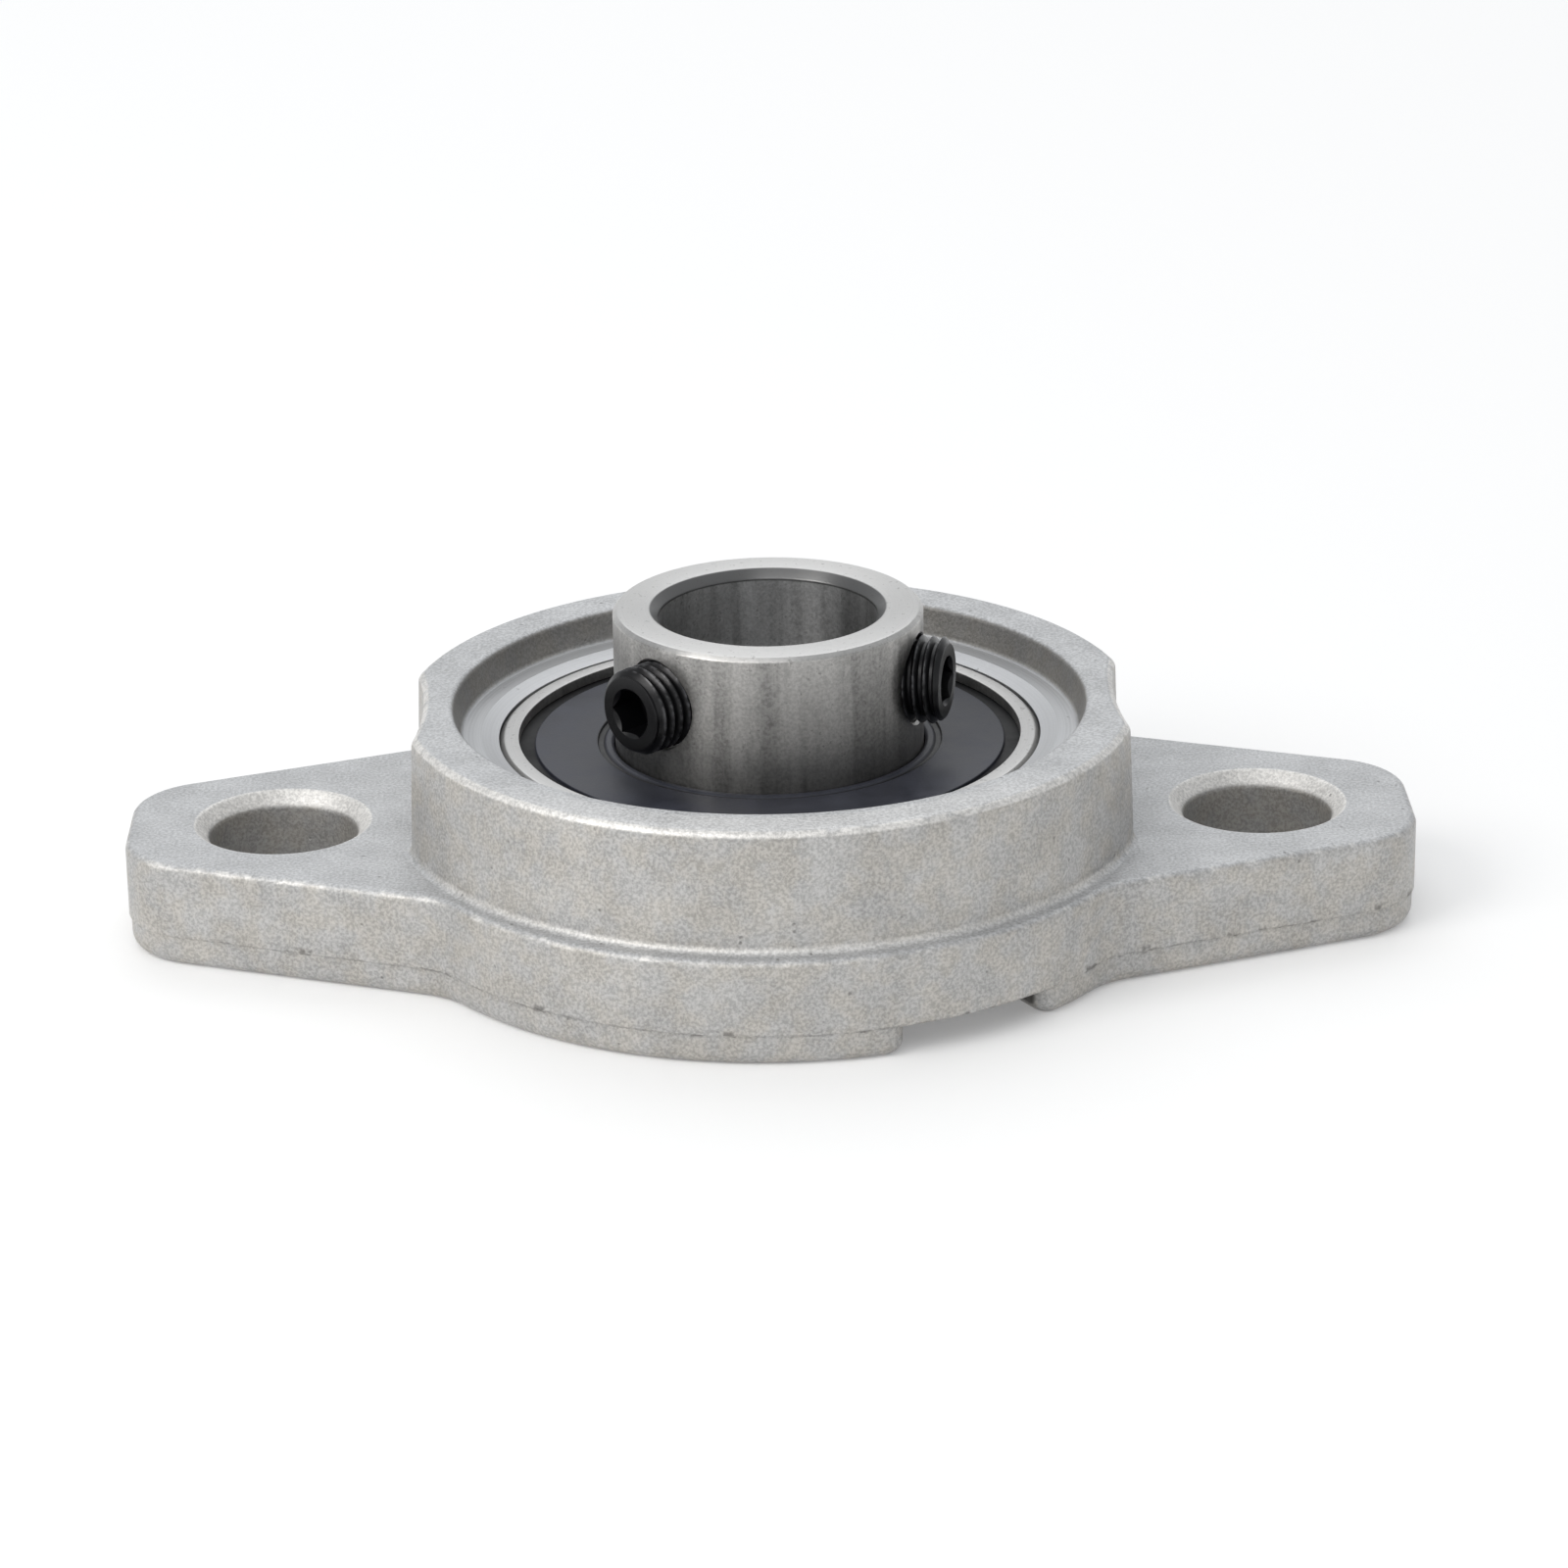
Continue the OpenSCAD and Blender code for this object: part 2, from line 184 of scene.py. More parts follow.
# The photograph's camera: distance in millimetres, angles in degrees
CAMERA_DISTANCE = 252.5
CAMERA_ELEVATION = 21.24
CAMERA_AZIMUTH = -1.08
CAMERA_ROLL = -0.83
CAMERA_AIM_RIGHT = 0.62
CAMERA_AIM_UP = 5.87
CAMERA_LENS = 124.65
SENSOR_W = 36.0

# Drawing planes: an arc with a positive angle turns anticlockwise as the drawing is seen
PLAN = (0, 0, 1)
SECTION = (0, -1, 0)

Bend = namedtuple("Bend", "r z degrees steps")


def activate(piece):
    """Makes a piece the only selected object, in object mode."""
    if bpy.context.mode != "OBJECT":
        bpy.ops.object.mode_set(mode="OBJECT")
    bpy.ops.object.select_all(action="DESELECT")
    piece.select_set(True)
    bpy.context.view_layer.objects.active = piece


def edit(piece):
    activate(piece)
    bpy.ops.object.mode_set(mode="EDIT")


def select(kind, test):
    """In edit mode, selects only the verts, edges or faces whose corner points all pass the test."""
    bpy.ops.mesh.select_mode(type={"verts": "VERT", "edges": "EDGE", "faces": "FACE"}[kind])
    bpy.ops.mesh.select_all(action="DESELECT")
    data = bpy.context.object.data
    shape = bmesh.from_edit_mesh(data)
    for part in getattr(shape, kind):
        corners = [part] if kind == "verts" else part.verts
        part.select_set(all(test(corner.co) for corner in corners))
    bmesh.update_edit_mesh(data)


def close_shell(threshold=TOUCH / 10):
    """In edit mode, merges doubled points and turns every face outwards."""
    bpy.ops.mesh.select_all(action="SELECT")
    bpy.ops.mesh.remove_doubles(threshold=threshold)
    bpy.ops.mesh.normals_make_consistent(inside=False)


def split_wide_faces():
    """In edit mode, splits the many-sided faces, so that a later cut leaves none with a hole in it."""
    bpy.ops.mesh.select_mode(type="FACE")
    bpy.ops.mesh.select_all(action="DESELECT")
    bpy.ops.mesh.select_face_by_sides(number=4, type="GREATER")
    bpy.ops.mesh.quads_convert_to_tris(ngon_method="BEAUTY")


class Pen:
    """Draws an outline in edit mode: line() extrudes the last point and arc() spins it."""

    def __init__(self, name, start, facing):
        if bpy.context.mode != "OBJECT":
            bpy.ops.object.mode_set(mode="OBJECT")
        bpy.ops.object.select_all(action="DESELECT")
        bpy.ops.mesh.primitive_plane_add()
        self.piece = bpy.context.object
        self.piece.name = name
        self.piece.data.name = name
        self.facing = Vector(facing)
        self.start = Vector(start)
        self.at = Vector(start)
        bpy.ops.object.mode_set(mode="EDIT")
        bpy.ops.mesh.select_mode(type="VERT")
        bpy.ops.mesh.select_all(action="SELECT")
        bpy.ops.mesh.merge(type="CENTER")
        bpy.ops.transform.translate(value=self.at)

    def line(self, *points):
        for point in points:
            step = Vector(point) - self.at
            bpy.ops.mesh.extrude_region_move(TRANSFORM_OT_translate={"value": step})
            self.at = Vector(point)

    def arc(self, centre, degrees, steps):
        turn = math.radians(degrees)
        middle = Vector(centre)
        bpy.ops.mesh.spin(steps=steps, angle=turn, center=middle, axis=-self.facing)
        self.at = middle + Matrix.Rotation(turn, 3, self.facing) @ (self.at - middle)

    def close(self):
        self.line(self.start)
        bpy.ops.mesh.select_all(action="SELECT")
        bpy.ops.mesh.remove_doubles(threshold=TOUCH / 10)


def soften(corner, size, segments=6):
    """In edit mode, rounds one corner of a drawn outline."""
    select("verts", lambda co: (co - corner).length < TOUCH)
    bpy.ops.mesh.bevel(affect="VERTICES", offset=size, segments=segments)


def turned(name, outline, closed=True):
    """A lathe-turned piece. Corners are (radius, height, rounding), and a Bend is an arc."""
    first = outline[0]
    pen = Pen(name, (first[0], 0, first[1]), SECTION)
    for stretch in outline[1:]:
        if isinstance(stretch, Bend):
            pen.arc((stretch.r, 0, stretch.z), stretch.degrees, stretch.steps)
        else:
            pen.line((stretch[0], 0, stretch[1]))
    if closed:
        pen.close()
    for corner in outline:
        if not isinstance(corner, Bend) and corner[2]:
            soften(Vector((corner[0], 0, corner[1])), corner[2])
    bpy.ops.mesh.select_all(action="SELECT")
    bpy.ops.mesh.spin(steps=LATHE_STEPS, angle=math.tau, center=(0, 0, 0), axis=(0, 0, 1))
    close_shell()
    bpy.ops.object.mode_set(mode="OBJECT")
    return pen.piece


def combine(piece, other, operation):
    """Joins or cuts a piece with another, which is used up."""
    activate(piece)
    change = piece.modifiers.new(operation.lower(), "BOOLEAN")
    change.operation = operation
    change.solver = "MANIFOLD"
    change.object = other
    bpy.ops.object.modifier_apply(modifier=change.name)
    bpy.data.objects.remove(other)


def put(piece, place, turn=(0, 0, 0)):
    """Turns a piece, in degrees, moves it to its place, and leaves the place in its mesh."""
    activate(piece)
    piece.rotation_euler = [math.radians(angle) for angle in turn]
    piece.location = place
    bpy.ops.object.transform_apply(location=True, rotation=True, scale=True)


def copy_of(piece, name):
    activate(piece)
    bpy.ops.object.duplicate()
    double = bpy.context.object
    double.name = name
    double.data.name = name
    return double


def extrude(step):
    bpy.ops.mesh.extrude_region_move(TRANSFORM_OT_translate={"value": step})


def fill_quarters(piece):
    """Completes an outline of which one quarter is drawn, fills it, and stays in edit mode."""
    activate(piece)
    mirrored = piece.modifiers.new("quarters", "MIRROR")
    mirrored.use_axis = (True, True, False)
    mirrored.merge_threshold = TOUCH
    bpy.ops.object.modifier_apply(modifier=mirrored.name)
    edit(piece)
    bpy.ops.mesh.select_all(action="SELECT")
    bpy.ops.mesh.edge_face_add()


def round_level_edges(height, size, segments=7):
    """In edit mode, rounds the edges that lie at one height."""
    select("edges", lambda co: abs(co.z - height) < TOUCH)
    bpy.ops.mesh.bevel(offset=size, segments=segments, affect="EDGES")


def slot_relief():
    """The notches where the loading slots run out through the rim, with rounded, flaring corners."""
    half = NOTCH_W / 2
    rim_r = FLANGE_R - PARTING_STEP
    corner_x = half + NOTCH_CORNER_R
    corner_y = math.sqrt((rim_r - NOTCH_CORNER_R) ** 2 - corner_x ** 2)
    outwards = Vector((corner_x, corner_y, 0)).normalized()
    pen = Pen("slot_relief", (half, 0, PARTING_Z), PLAN)
    pen.line((half, corner_y, PARTING_Z))
    corner_turn = math.degrees(math.atan2(corner_y, corner_x)) - 180
    pen.arc((corner_x, corner_y, PARTING_Z), corner_turn, steps=12)
    pen.line(pen.at + outwards * OVERSHOOT, (0, rim_r + OVERSHOOT, PARTING_Z))
    relief = pen.piece
    fill_quarters(relief)
    extrude((0, 0, -PARTING_Z - OVERSHOOT))
    close_shell()
    put(relief, (0, 0, 0), (0, 0, 90 - SLOT_TURN))
    return relief


def flange_plate():
    """The ear outline, a quarter drawn and mirrored, pulled down to the parting line and to the foot."""
    lean = math.radians(EAR_TAPER)
    across = Vector((math.sin(lean), math.cos(lean), 0))
    along = Vector((math.cos(lean), -math.sin(lean), 0))
    level = Vector((0, 0, FLANGE_T))
    side = across.dot(Vector((BOLT_X, EAR_W / 2, 0)))
    corner_x = EAR_X - EAR_CORNER_R
    corner_y = (side - EAR_CORNER_R - corner_x * across.x) / across.y
    corner = Vector((corner_x, corner_y, 0)) + level
    hollow_run = math.sqrt((FLANGE_R + WAIST_R) ** 2 - (side + WAIST_R) ** 2)
    hollow = across * (side + WAIST_R) + along * hollow_run + level
    waist_turn = math.degrees(math.atan2(hollow.y, hollow.x))
    side_turn = 90 - EAR_TAPER
    pen = Pen("housing_casting", (EAR_X, 0, FLANGE_T), PLAN)
    pen.line(corner + Vector((EAR_CORNER_R, 0, 0)))
    pen.arc(corner, side_turn, steps=20)
    pen.line(hollow - across * WAIST_R)
    pen.arc(hollow, waist_turn - side_turn, steps=14)
    pen.arc(level, 90 - waist_turn, steps=60)
    plate = pen.piece
    fill_quarters(plate)
    extrude((0, 0, PARTING_Z - FLANGE_T))
    bpy.ops.mesh.inset(thickness=PARTING_STEP)
    extrude((0, 0, -PARTING_Z))
    close_shell()
    round_level_edges(FLANGE_T, FLANGE_EDGE_R)
    round_level_edges(PARTING_Z, PARTING_SOFT)
    combine(plate, slot_relief(), "DIFFERENCE")
    edit(plate)
    bpy.ops.mesh.select_all(action="SELECT")
    bpy.ops.mesh.dissolve_limited(angle_limit=math.radians(FLAT_ANGLE))
    round_level_edges(0, FLANGE_FOOT_R)
    bpy.ops.object.mode_set(mode="OBJECT")
    return plate


def boss_block():
    """The boss: round, with two slightly hollow flats and eased corners, spread towards its foot."""
    root_z = FLANGE_T / 2
    height = BOSS_TOP_Z - root_z
    spread = (BOSS_BASE_R - BOSS_TOP_R) * height / (BOSS_TOP_Z - FLANGE_T)
    foot_scale = 1 + spread / BOSS_TOP_R
    hollow_x = FLAT_X + FLAT_HOLLOW_R
    from_axis = BOSS_TOP_R - FLAT_CORNER_R
    from_hollow = FLAT_HOLLOW_R + FLAT_CORNER_R
    corner_x = (from_axis ** 2 - from_hollow ** 2 + hollow_x ** 2) / (2 * hollow_x)
    corner_y = math.sqrt(from_axis ** 2 - corner_x ** 2)
    corner_turn = math.degrees(math.atan2(corner_y, corner_x))
    hollow_turn = math.degrees(math.atan2(corner_y, hollow_x - corner_x))
    pen = Pen("boss", (FLAT_X, 0, BOSS_TOP_Z), PLAN)
    pen.arc((hollow_x, 0, BOSS_TOP_Z), -hollow_turn, steps=16)
    pen.arc((corner_x, corner_y, BOSS_TOP_Z), hollow_turn + corner_turn, steps=12)
    pen.arc((0, 0, BOSS_TOP_Z), 90 - corner_turn, steps=68)
    boss = pen.piece
    fill_quarters(boss)
    extrude((0, 0, -height))
    bpy.ops.transform.resize(value=(foot_scale, foot_scale, 1))
    close_shell()
    round_level_edges(BOSS_TOP_Z, BOSS_EDGE_R, segments=9)
    bpy.ops.object.mode_set(mode="OBJECT")
    return boss


def seat_cutter():
    """The room inside the boss: spherical seat, machined bevel, ledge and flared recess."""
    foot_z = SEAT_FOOT_EDGE
    bevel_z = LEDGE_Z - SEAT_BEVEL_DROP
    foot_turn = math.degrees(math.asin((foot_z - SEAT_Z) / SEAT_R))
    bevel_turn = math.degrees(math.asin((bevel_z - SEAT_Z) / SEAT_R))
    foot_r = SEAT_R * math.cos(math.radians(foot_turn))
    bevel_r = SEAT_R * math.cos(math.radians(bevel_turn))
    edge_z = BOSS_TOP_Z - RECESS_EDGE_R
    wall_run = (RECESS_MOUTH_R - RECESS_FLOOR_R) * (edge_z - LEDGE_Z) / (BOSS_TOP_Z - LEDGE_Z)
    edge_r = RECESS_FLOOR_R + wall_run
    return turned("seat_cutter", [
        (0, -OVERSHOOT, 0),
        (foot_r + foot_z + OVERSHOOT, -OVERSHOOT, 0),
        (foot_r, foot_z, 0),
        Bend(0, SEAT_Z, bevel_turn - foot_turn, 40),
        (bevel_r + SEAT_BEVEL_W, LEDGE_Z, 0),
        (RECESS_FLOOR_R, LEDGE_Z, RECESS_CORNER_R),
        (edge_r, edge_z, 0),
        Bend(edge_r + RECESS_EDGE_R, edge_z, -90, 9),
        (edge_r + RECESS_EDGE_R, BOSS_TOP_Z + OVERSHOOT, 0),
        (0, BOSS_TOP_Z + OVERSHOOT, 0),
    ], closed=False)


def bolt_cutter(x):
    """A bolt hole with a soft coned mouth and an eased foot."""
    mouth_z = FLANGE_T - BOLT_MOUTH_DEPTH
    flare = BOLT_MOUTH_R - BOLT_R
    foot_out = BOLT_R + BOLT_FOOT_EDGE + OVERSHOOT
    cutter = turned("bolt_cutter", [
        (0, -OVERSHOOT, 0),
        (foot_out, -OVERSHOOT, 0),
        (BOLT_R, BOLT_FOOT_EDGE, 0),
        (BOLT_R, mouth_z, BOLT_MOUTH_SOFT),
        (BOLT_MOUTH_R, FLANGE_T, BOLT_MOUTH_SOFT),
        (BOLT_MOUTH_R + 3 * flare, FLANGE_T + BOLT_MOUTH_SOFT, 0),
        (0, FLANGE_T + BOLT_MOUTH_SOFT, 0),
    ], closed=False)
    put(cutter, (x, 0, 0))
    return cutter


def slot_pocket():
    """The loading slots inside the seat, as wide as the ring and up to the middle of the seat."""
    height = SEAT_Z + OVERSHOOT
    bpy.ops.object.select_all(action="DESELECT")
    bpy.ops.mesh.primitive_cylinder_add(
        vertices=LATHE_STEPS, radius=SEAT_R - 5 * TOUCH, depth=height
    )
    pocket = bpy.context.object
    put(pocket, (0, 0, SEAT_Z - height / 2))
    edit(pocket)
    for side in (-1, 1):
        bpy.ops.mesh.select_all(action="SELECT")
        bpy.ops.mesh.bisect(
            plane_co=(side * SLOT_W / 2, 0, 0),
            plane_no=(side, 0, 0),
            use_fill=True,
            clear_outer=True,
        )
    close_shell()
    put(pocket, (0, 0, 0), (0, 0, 90 - SLOT_TURN))
    return pocket


def housing_casting():
    housing = flange_plate()
    combine(housing, boss_block(), "UNION")
    edit(housing)
    seam_r = BOSS_BASE_R + BASE_FILLET_R / 2
    select("edges", lambda co: abs(co.z - FLANGE_T) < TOUCH and math.hypot(co.x, co.y) < seam_r)
    bpy.ops.mesh.bevel(offset=BASE_FILLET_R, segments=9, affect="EDGES")
    split_wide_faces()
    bpy.ops.object.mode_set(mode="OBJECT")
    for cutter in (seat_cutter(), slot_pocket(), bolt_cutter(-BOLT_X), bolt_cutter(BOLT_X)):
        combine(housing, cutter, "DIFFERENCE")
    return housing


def outer_ring():
    """Spherical outside, deep raceway, and at each side a stepped groove for a seal's rim."""
    face_r = math.sqrt(INSERT_R ** 2 - RING_HALF_W ** 2)
    edge_r = face_r - RING_EDGE
    race_r = PITCH_R + BALL_R + RACE_GAP - RACE_R
    race_turn = math.degrees(math.acos((SHOULDER_R - race_r) / RACE_R))
    race_h = RACE_R * math.sin(math.radians(race_turn))
    bevel_turn = math.degrees(math.asin((RING_HALF_W - RING_BEVEL_H) / INSERT_R))
    bevel_h = INSERT_R * math.sin(math.radians(bevel_turn))
    bevel_r = INSERT_R * math.cos(math.radians(bevel_turn))
    ring = turned("outer_ring_ground", [
        (SHOULDER_R, -SEAL_SEAT_Z, 0),
        (SEAL_GROOVE_R, -SEAL_SEAT_Z, 0),
        (SEAL_GROOVE_R, -SEAL_GROOVE_TOP_Z, 0),
        (SEAL_MOUTH_R, -SEAL_GROOVE_TOP_Z, 0),
        (SEAL_MOUTH_R, -RING_HALF_W, EDGE_SOFT),
        (edge_r, -RING_HALF_W, EDGE_SOFT),
        (bevel_r, -bevel_h, 0),
        Bend(0, 0, 2 * bevel_turn, 40),
        (edge_r, RING_HALF_W, EDGE_SOFT),
        (SEAL_MOUTH_R, RING_HALF_W, EDGE_SOFT),
        (SEAL_MOUTH_R, SEAL_GROOVE_TOP_Z, 0),
        (SEAL_GROOVE_R, SEAL_GROOVE_TOP_Z, 0),
        (SEAL_GROOVE_R, SEAL_SEAT_Z, 0),
        (SHOULDER_R, SEAL_SEAT_Z, 0),
        (SHOULDER_R, race_h, 0),
        Bend(race_r, 0, -2 * race_turn, 24),
    ])
    put(ring, (0, 0, SEAT_Z))
    return ring


def inner_ring():
    """Shaft bore, raceway, and a long collar drilled for the two set screws."""
    race_r = PITCH_R - BALL_R - RACE_GAP + RACE_R
    race_turn = math.degrees(math.acos((race_r - COLLAR_R) / RACE_R))
    race_h = RACE_R * math.sin(math.radians(race_turn))
    ring = turned("inner_ring_ground", [
        (BORE_R, COLLAR_FOOT_Z + BORE_CHAMFER, EDGE_SOFT),
        (BORE_R + BORE_CHAMFER, COLLAR_FOOT_Z, EDGE_SOFT),
        (COLLAR_R - RING_EDGE, COLLAR_FOOT_Z, EDGE_SOFT),
        (COLLAR_R, COLLAR_FOOT_Z + RING_EDGE, EDGE_SOFT),
        (COLLAR_R, SEAT_Z - race_h, 0),
        Bend(race_r, SEAT_Z, -2 * race_turn, 24),
        (COLLAR_R, COLLAR_TOP_Z - RING_EDGE, EDGE_SOFT),
        (COLLAR_R - RING_EDGE, COLLAR_TOP_Z, EDGE_SOFT),
        (BORE_R + BORE_CHAMFER, COLLAR_TOP_Z, EDGE_SOFT),
        (BORE_R, COLLAR_TOP_Z - BORE_CHAMFER, EDGE_SOFT),
    ])
    for direction in SCREW_DIRECTIONS.values():
        cutter = turned("screw_cutter", [
            (0, BORE_R / 2, 0),
            (SCREW_HOLE_R, BORE_R / 2, 0),
            (SCREW_HOLE_R, COLLAR_R - SCREW_MOUTH, 0),
            (SCREW_HOLE_R + SCREW_MOUTH + OVERSHOOT, COLLAR_R + OVERSHOOT, 0),
            (0, COLLAR_R + OVERSHOOT, 0),
        ], closed=False)
        put(cutter, (0, 0, SCREW_Z), (0, 90, direction))
        combine(ring, cutter, "DIFFERENCE")
    return ring


def seal_rubber():
    """A seal's rubber: rim in the ring's groove, sunk band, flat face, and a beaded lip."""
    bead_edge = LIP_BEAD_Z - LIP_GROOVE_Z
    return turned("front_seal_moulding", [
        (CORE_OUT_R, SEAL_SEAT_Z, 0),
        (SEAL_RIM_R, SEAL_SEAT_Z, RUBBER_SOFT),
        (SEAL_RIM_R, SEAL_BAND_Z, RUBBER_SOFT),
        (SEAL_FACE_OUT_R, SEAL_BAND_Z, RUBBER_SOFT),
        (SEAL_FACE_OUT_R, SEAL_FACE_Z, RUBBER_SOFT),
        (SEAL_FACE_IN_R, SEAL_FACE_Z, RUBBER_SOFT),
        (SEAL_FACE_IN_R, LIP_GROOVE_Z, RUBBER_SOFT),
        (SEAL_BEAD_OUT_R, LIP_GROOVE_Z, RUBBER_SOFT / 2),
        (SEAL_BEAD_OUT_R - bead_edge, LIP_BEAD_Z, RUBBER_SOFT),
        (SEAL_LIP_R + bead_edge, LIP_BEAD_Z, RUBBER_SOFT),
        (SEAL_LIP_R, LIP_GROOVE_Z, RUBBER_SOFT / 2),
        (SEAL_LIP_R, CORE_TOP_Z, RUBBER_SOFT / 2),
        (SEAL_BEAD_OUT_R - bead_edge, CORE_Z, RUBBER_SOFT / 2),
        (SEAL_FACE_IN_R, CORE_Z, 0),
        (SEAL_FACE_IN_R, CORE_TOP_Z, 0),
        (CORE_OUT_R, CORE_TOP_Z, 0),
    ])


def thread_rod():
    """A length of thread, one pitch drawn and carried up the helix, cut square at both ends."""
    root_r = SCREW_R - THREAD_CLEAR - THREAD_DEPTH
    crest_r = SCREW_R - THREAD_CLEAR
    root_w = THREAD_PITCH / 4
    crest_w = THREAD_PITCH / 8
    flank = (THREAD_PITCH - root_w - crest_w) / 2
    start_z = -2 * THREAD_PITCH
    pen = Pen("screw", (root_r, 0, start_z), SECTION)
    crest_z = start_z + root_w + flank
    pen.line((root_r, 0, start_z + root_w), (crest_r, 0, crest_z), (crest_r, 0, crest_z + crest_w))
    pen.line((root_r, 0, start_z + THREAD_PITCH))
    for height in (crest_z, crest_z + crest_w):
        soften(Vector((crest_r, 0, height)), crest_w / 3, 2)
    rod = pen.piece
    activate(rod)
    helix = rod.modifiers.new("helix", "SCREW")
    helix.axis = "Z"
    helix.angle = math.tau
    helix.screw_offset = THREAD_PITCH
    helix.iterations = math.ceil(SCREW_LEN / THREAD_PITCH) + 4
    helix.steps = THREAD_STEPS
    helix.render_steps = THREAD_STEPS
    helix.use_merge_vertices = True
    helix.merge_threshold = TOUCH / 10
    bpy.ops.object.modifier_apply(modifier=helix.name)
    edit(rod)
    close_shell()
    for height, facing in ((-THREAD_PITCH / 2, -1), (SCREW_LEN + THREAD_PITCH / 2, 1)):
        bpy.ops.mesh.select_all(action="SELECT")
        bpy.ops.mesh.bisect(
            plane_co=(0, 0, height), plane_no=(0, 0, facing), use_fill=True, clear_outer=True
        )
    close_shell()
    bpy.ops.object.mode_set(mode="OBJECT")
    return rod


def hexagon_cutter():
    """A hexagon key's room, with a drilled cone at its floor."""
    bpy.ops.object.select_all(action="DESELECT")
    bpy.ops.mesh.primitive_cylinder_add(vertices=6, radius=SOCKET_R, depth=SOCKET_DEPTH + OVERSHOOT)
    cutter = bpy.context.object
    floor_z = SCREW_LEN - SOCKET_DEPTH
    put(cutter, (0, 0, floor_z + (SOCKET_DEPTH + OVERSHOOT) / 2))
    edit(cutter)
    select("faces", lambda co: co.z < floor_z + TOUCH)
    bpy.ops.mesh.inset(thickness=SOCKET_MOUTH)
    extrude((0, 0, -SOCKET_MOUTH))
    bpy.ops.mesh.merge(type="CENTER")
    close_shell()
    bpy.ops.object.mode_set(mode="OBJECT")
    return cutter


def set_screw():
    """A headless screw along Z, cup point at the origin and hexagon socket at the top."""
    screw = thread_rod()
    blank_r = SCREW_R + THREAD_CLEAR
    blank = turned("blank", [
        (0, CUP_DEPTH, 0),
        (SCREW_R - POINT_H, 0, EDGE_SOFT),
        (blank_r, POINT_H, 0),
        (blank_r, SCREW_LEN - END_EDGE, 0),
        (SCREW_R - END_EDGE, SCREW_LEN, EDGE_SOFT),
        (0, SCREW_LEN, 0),
    ], closed=False)
    combine(screw, blank, "INTERSECT")
    combine(screw, hexagon_cutter(), "DIFFERENCE")
    mouth = turned("mouth_cutter", [
        (0, SCREW_LEN - SOCKET_MOUTH - SOCKET_R, 0),
        (SOCKET_R + SOCKET_MOUTH / 2, SCREW_LEN + SOCKET_MOUTH / 2, 0),
        (0, SCREW_LEN + OVERSHOOT, 0),
    ], closed=False)
    combine(screw, mouth, "DIFFERENCE")
    edit(screw)
    close_shell()
    bpy.ops.object.mode_set(mode="OBJECT")
    # Marks the thread's crests for lightening: partly wear, partly a painted highlight
    wear_and_highlight = screw.data.attributes.new("crest_wear", "FLOAT", "POINT")
    low = SCREW_R - THREAD_DEPTH / 2
    for point, value in zip(screw.data.vertices, wear_and_highlight.data):
        radius = math.hypot(point.co.x, point.co.y)
        value.value = min(max((radius - low) / (SCREW_R - low), 0), 1)
    return screw


class Wire:
    """A socket in a node tree. Arithmetic on values adds Math nodes, and node() adds any other node."""

    def __init__(self, tree, socket=None):
        self.tree = tree
        self.socket = socket

    def node(self, kind, settings=None, inputs=None, output=0):
        made = self.tree.nodes.new(kind)
        for name, value in (settings or {}).items():
            setattr(made, name, value)
        for name, value in (inputs or {}).items():
            if isinstance(value, Wire):
                self.tree.links.new(value.socket, made.inputs[name])
            else:
                made.inputs[name].default_value = value
        return Wire(self.tree, made.outputs[output])

    def math(self, operation, *values):
        return self.node("ShaderNodeMath", {"operation": operation}, dict(enumerate(values)))

    def __add__(self, other):
        return self.math("ADD", self, other)

    def __sub__(self, other):
        return self.math("SUBTRACT", self, other)

    def __rsub__(self, other):
        return self.math("SUBTRACT", other, self)

    def __mul__(self, other):
        return self.math("MULTIPLY", self, other)

    def __pow__(self, other):
        return self.math("POWER", self, other)

    def __abs__(self):
        return self.math("ABSOLUTE", self)

    def or_more(self, other):
        return self.math("MAXIMUM", self, other)

    __radd__ = __add__
    __rmul__ = __mul__

    def step(self, low, high):
        """A soft step from 0 at low to 1 at high."""
        return self.node(
            "ShaderNodeMapRange",
            {"interpolation_type": "SMOOTHSTEP"},
            {"Value": self, "From Min": low, "From Max": high},
        )

    def mix(self, first, second):
        """The first colour where this value is 0 and the second where it is 1."""
        return self.node("ShaderNodeMix", {"data_type": "RGBA"}, {0: self, 6: first, 7: second}, 2)

    def scaled(self, factor):
        return self.node("ShaderNodeVectorMath", {"operation": "SCALE"}, {0: self, "Scale": factor})

    def up(self):
        """How far the surface faces along +Z, from -1 to 1."""
        return self.node("ShaderNodeTexCoord", output="Normal").axes()[2]

    def vector(self, *values):
        return self.node("ShaderNodeCombineXYZ", None, dict(enumerate(values)))

    def axes(self):
        return [self.node("ShaderNodeSeparateXYZ", None, {0: self}, axis) for axis in "XYZ"]

    def noise(self, scale, detail=2.0, roughness=0.5):
        """Noise around 0.5 with that many features to the millimetre."""
        inputs = {"Vector": self, "Scale": scale, "Detail": detail, "Roughness": roughness}
        return self.node("ShaderNodeTexNoise", None, inputs)

    def cells(self, scale, output):
        return self.node("ShaderNodeTexVoronoi", None, {"Vector": self, "Scale": scale}, output)


def span(across, along):
    """The distance that two wires make at right angles."""
    return (across * across + along * along) ** 0.5


def grey(level, warmth=0.0):
    """A linear grey, a little warmer or, below zero, cooler."""
    return (level * (1 + warmth), level, level * (1 - 1.6 * warmth), 1.0)


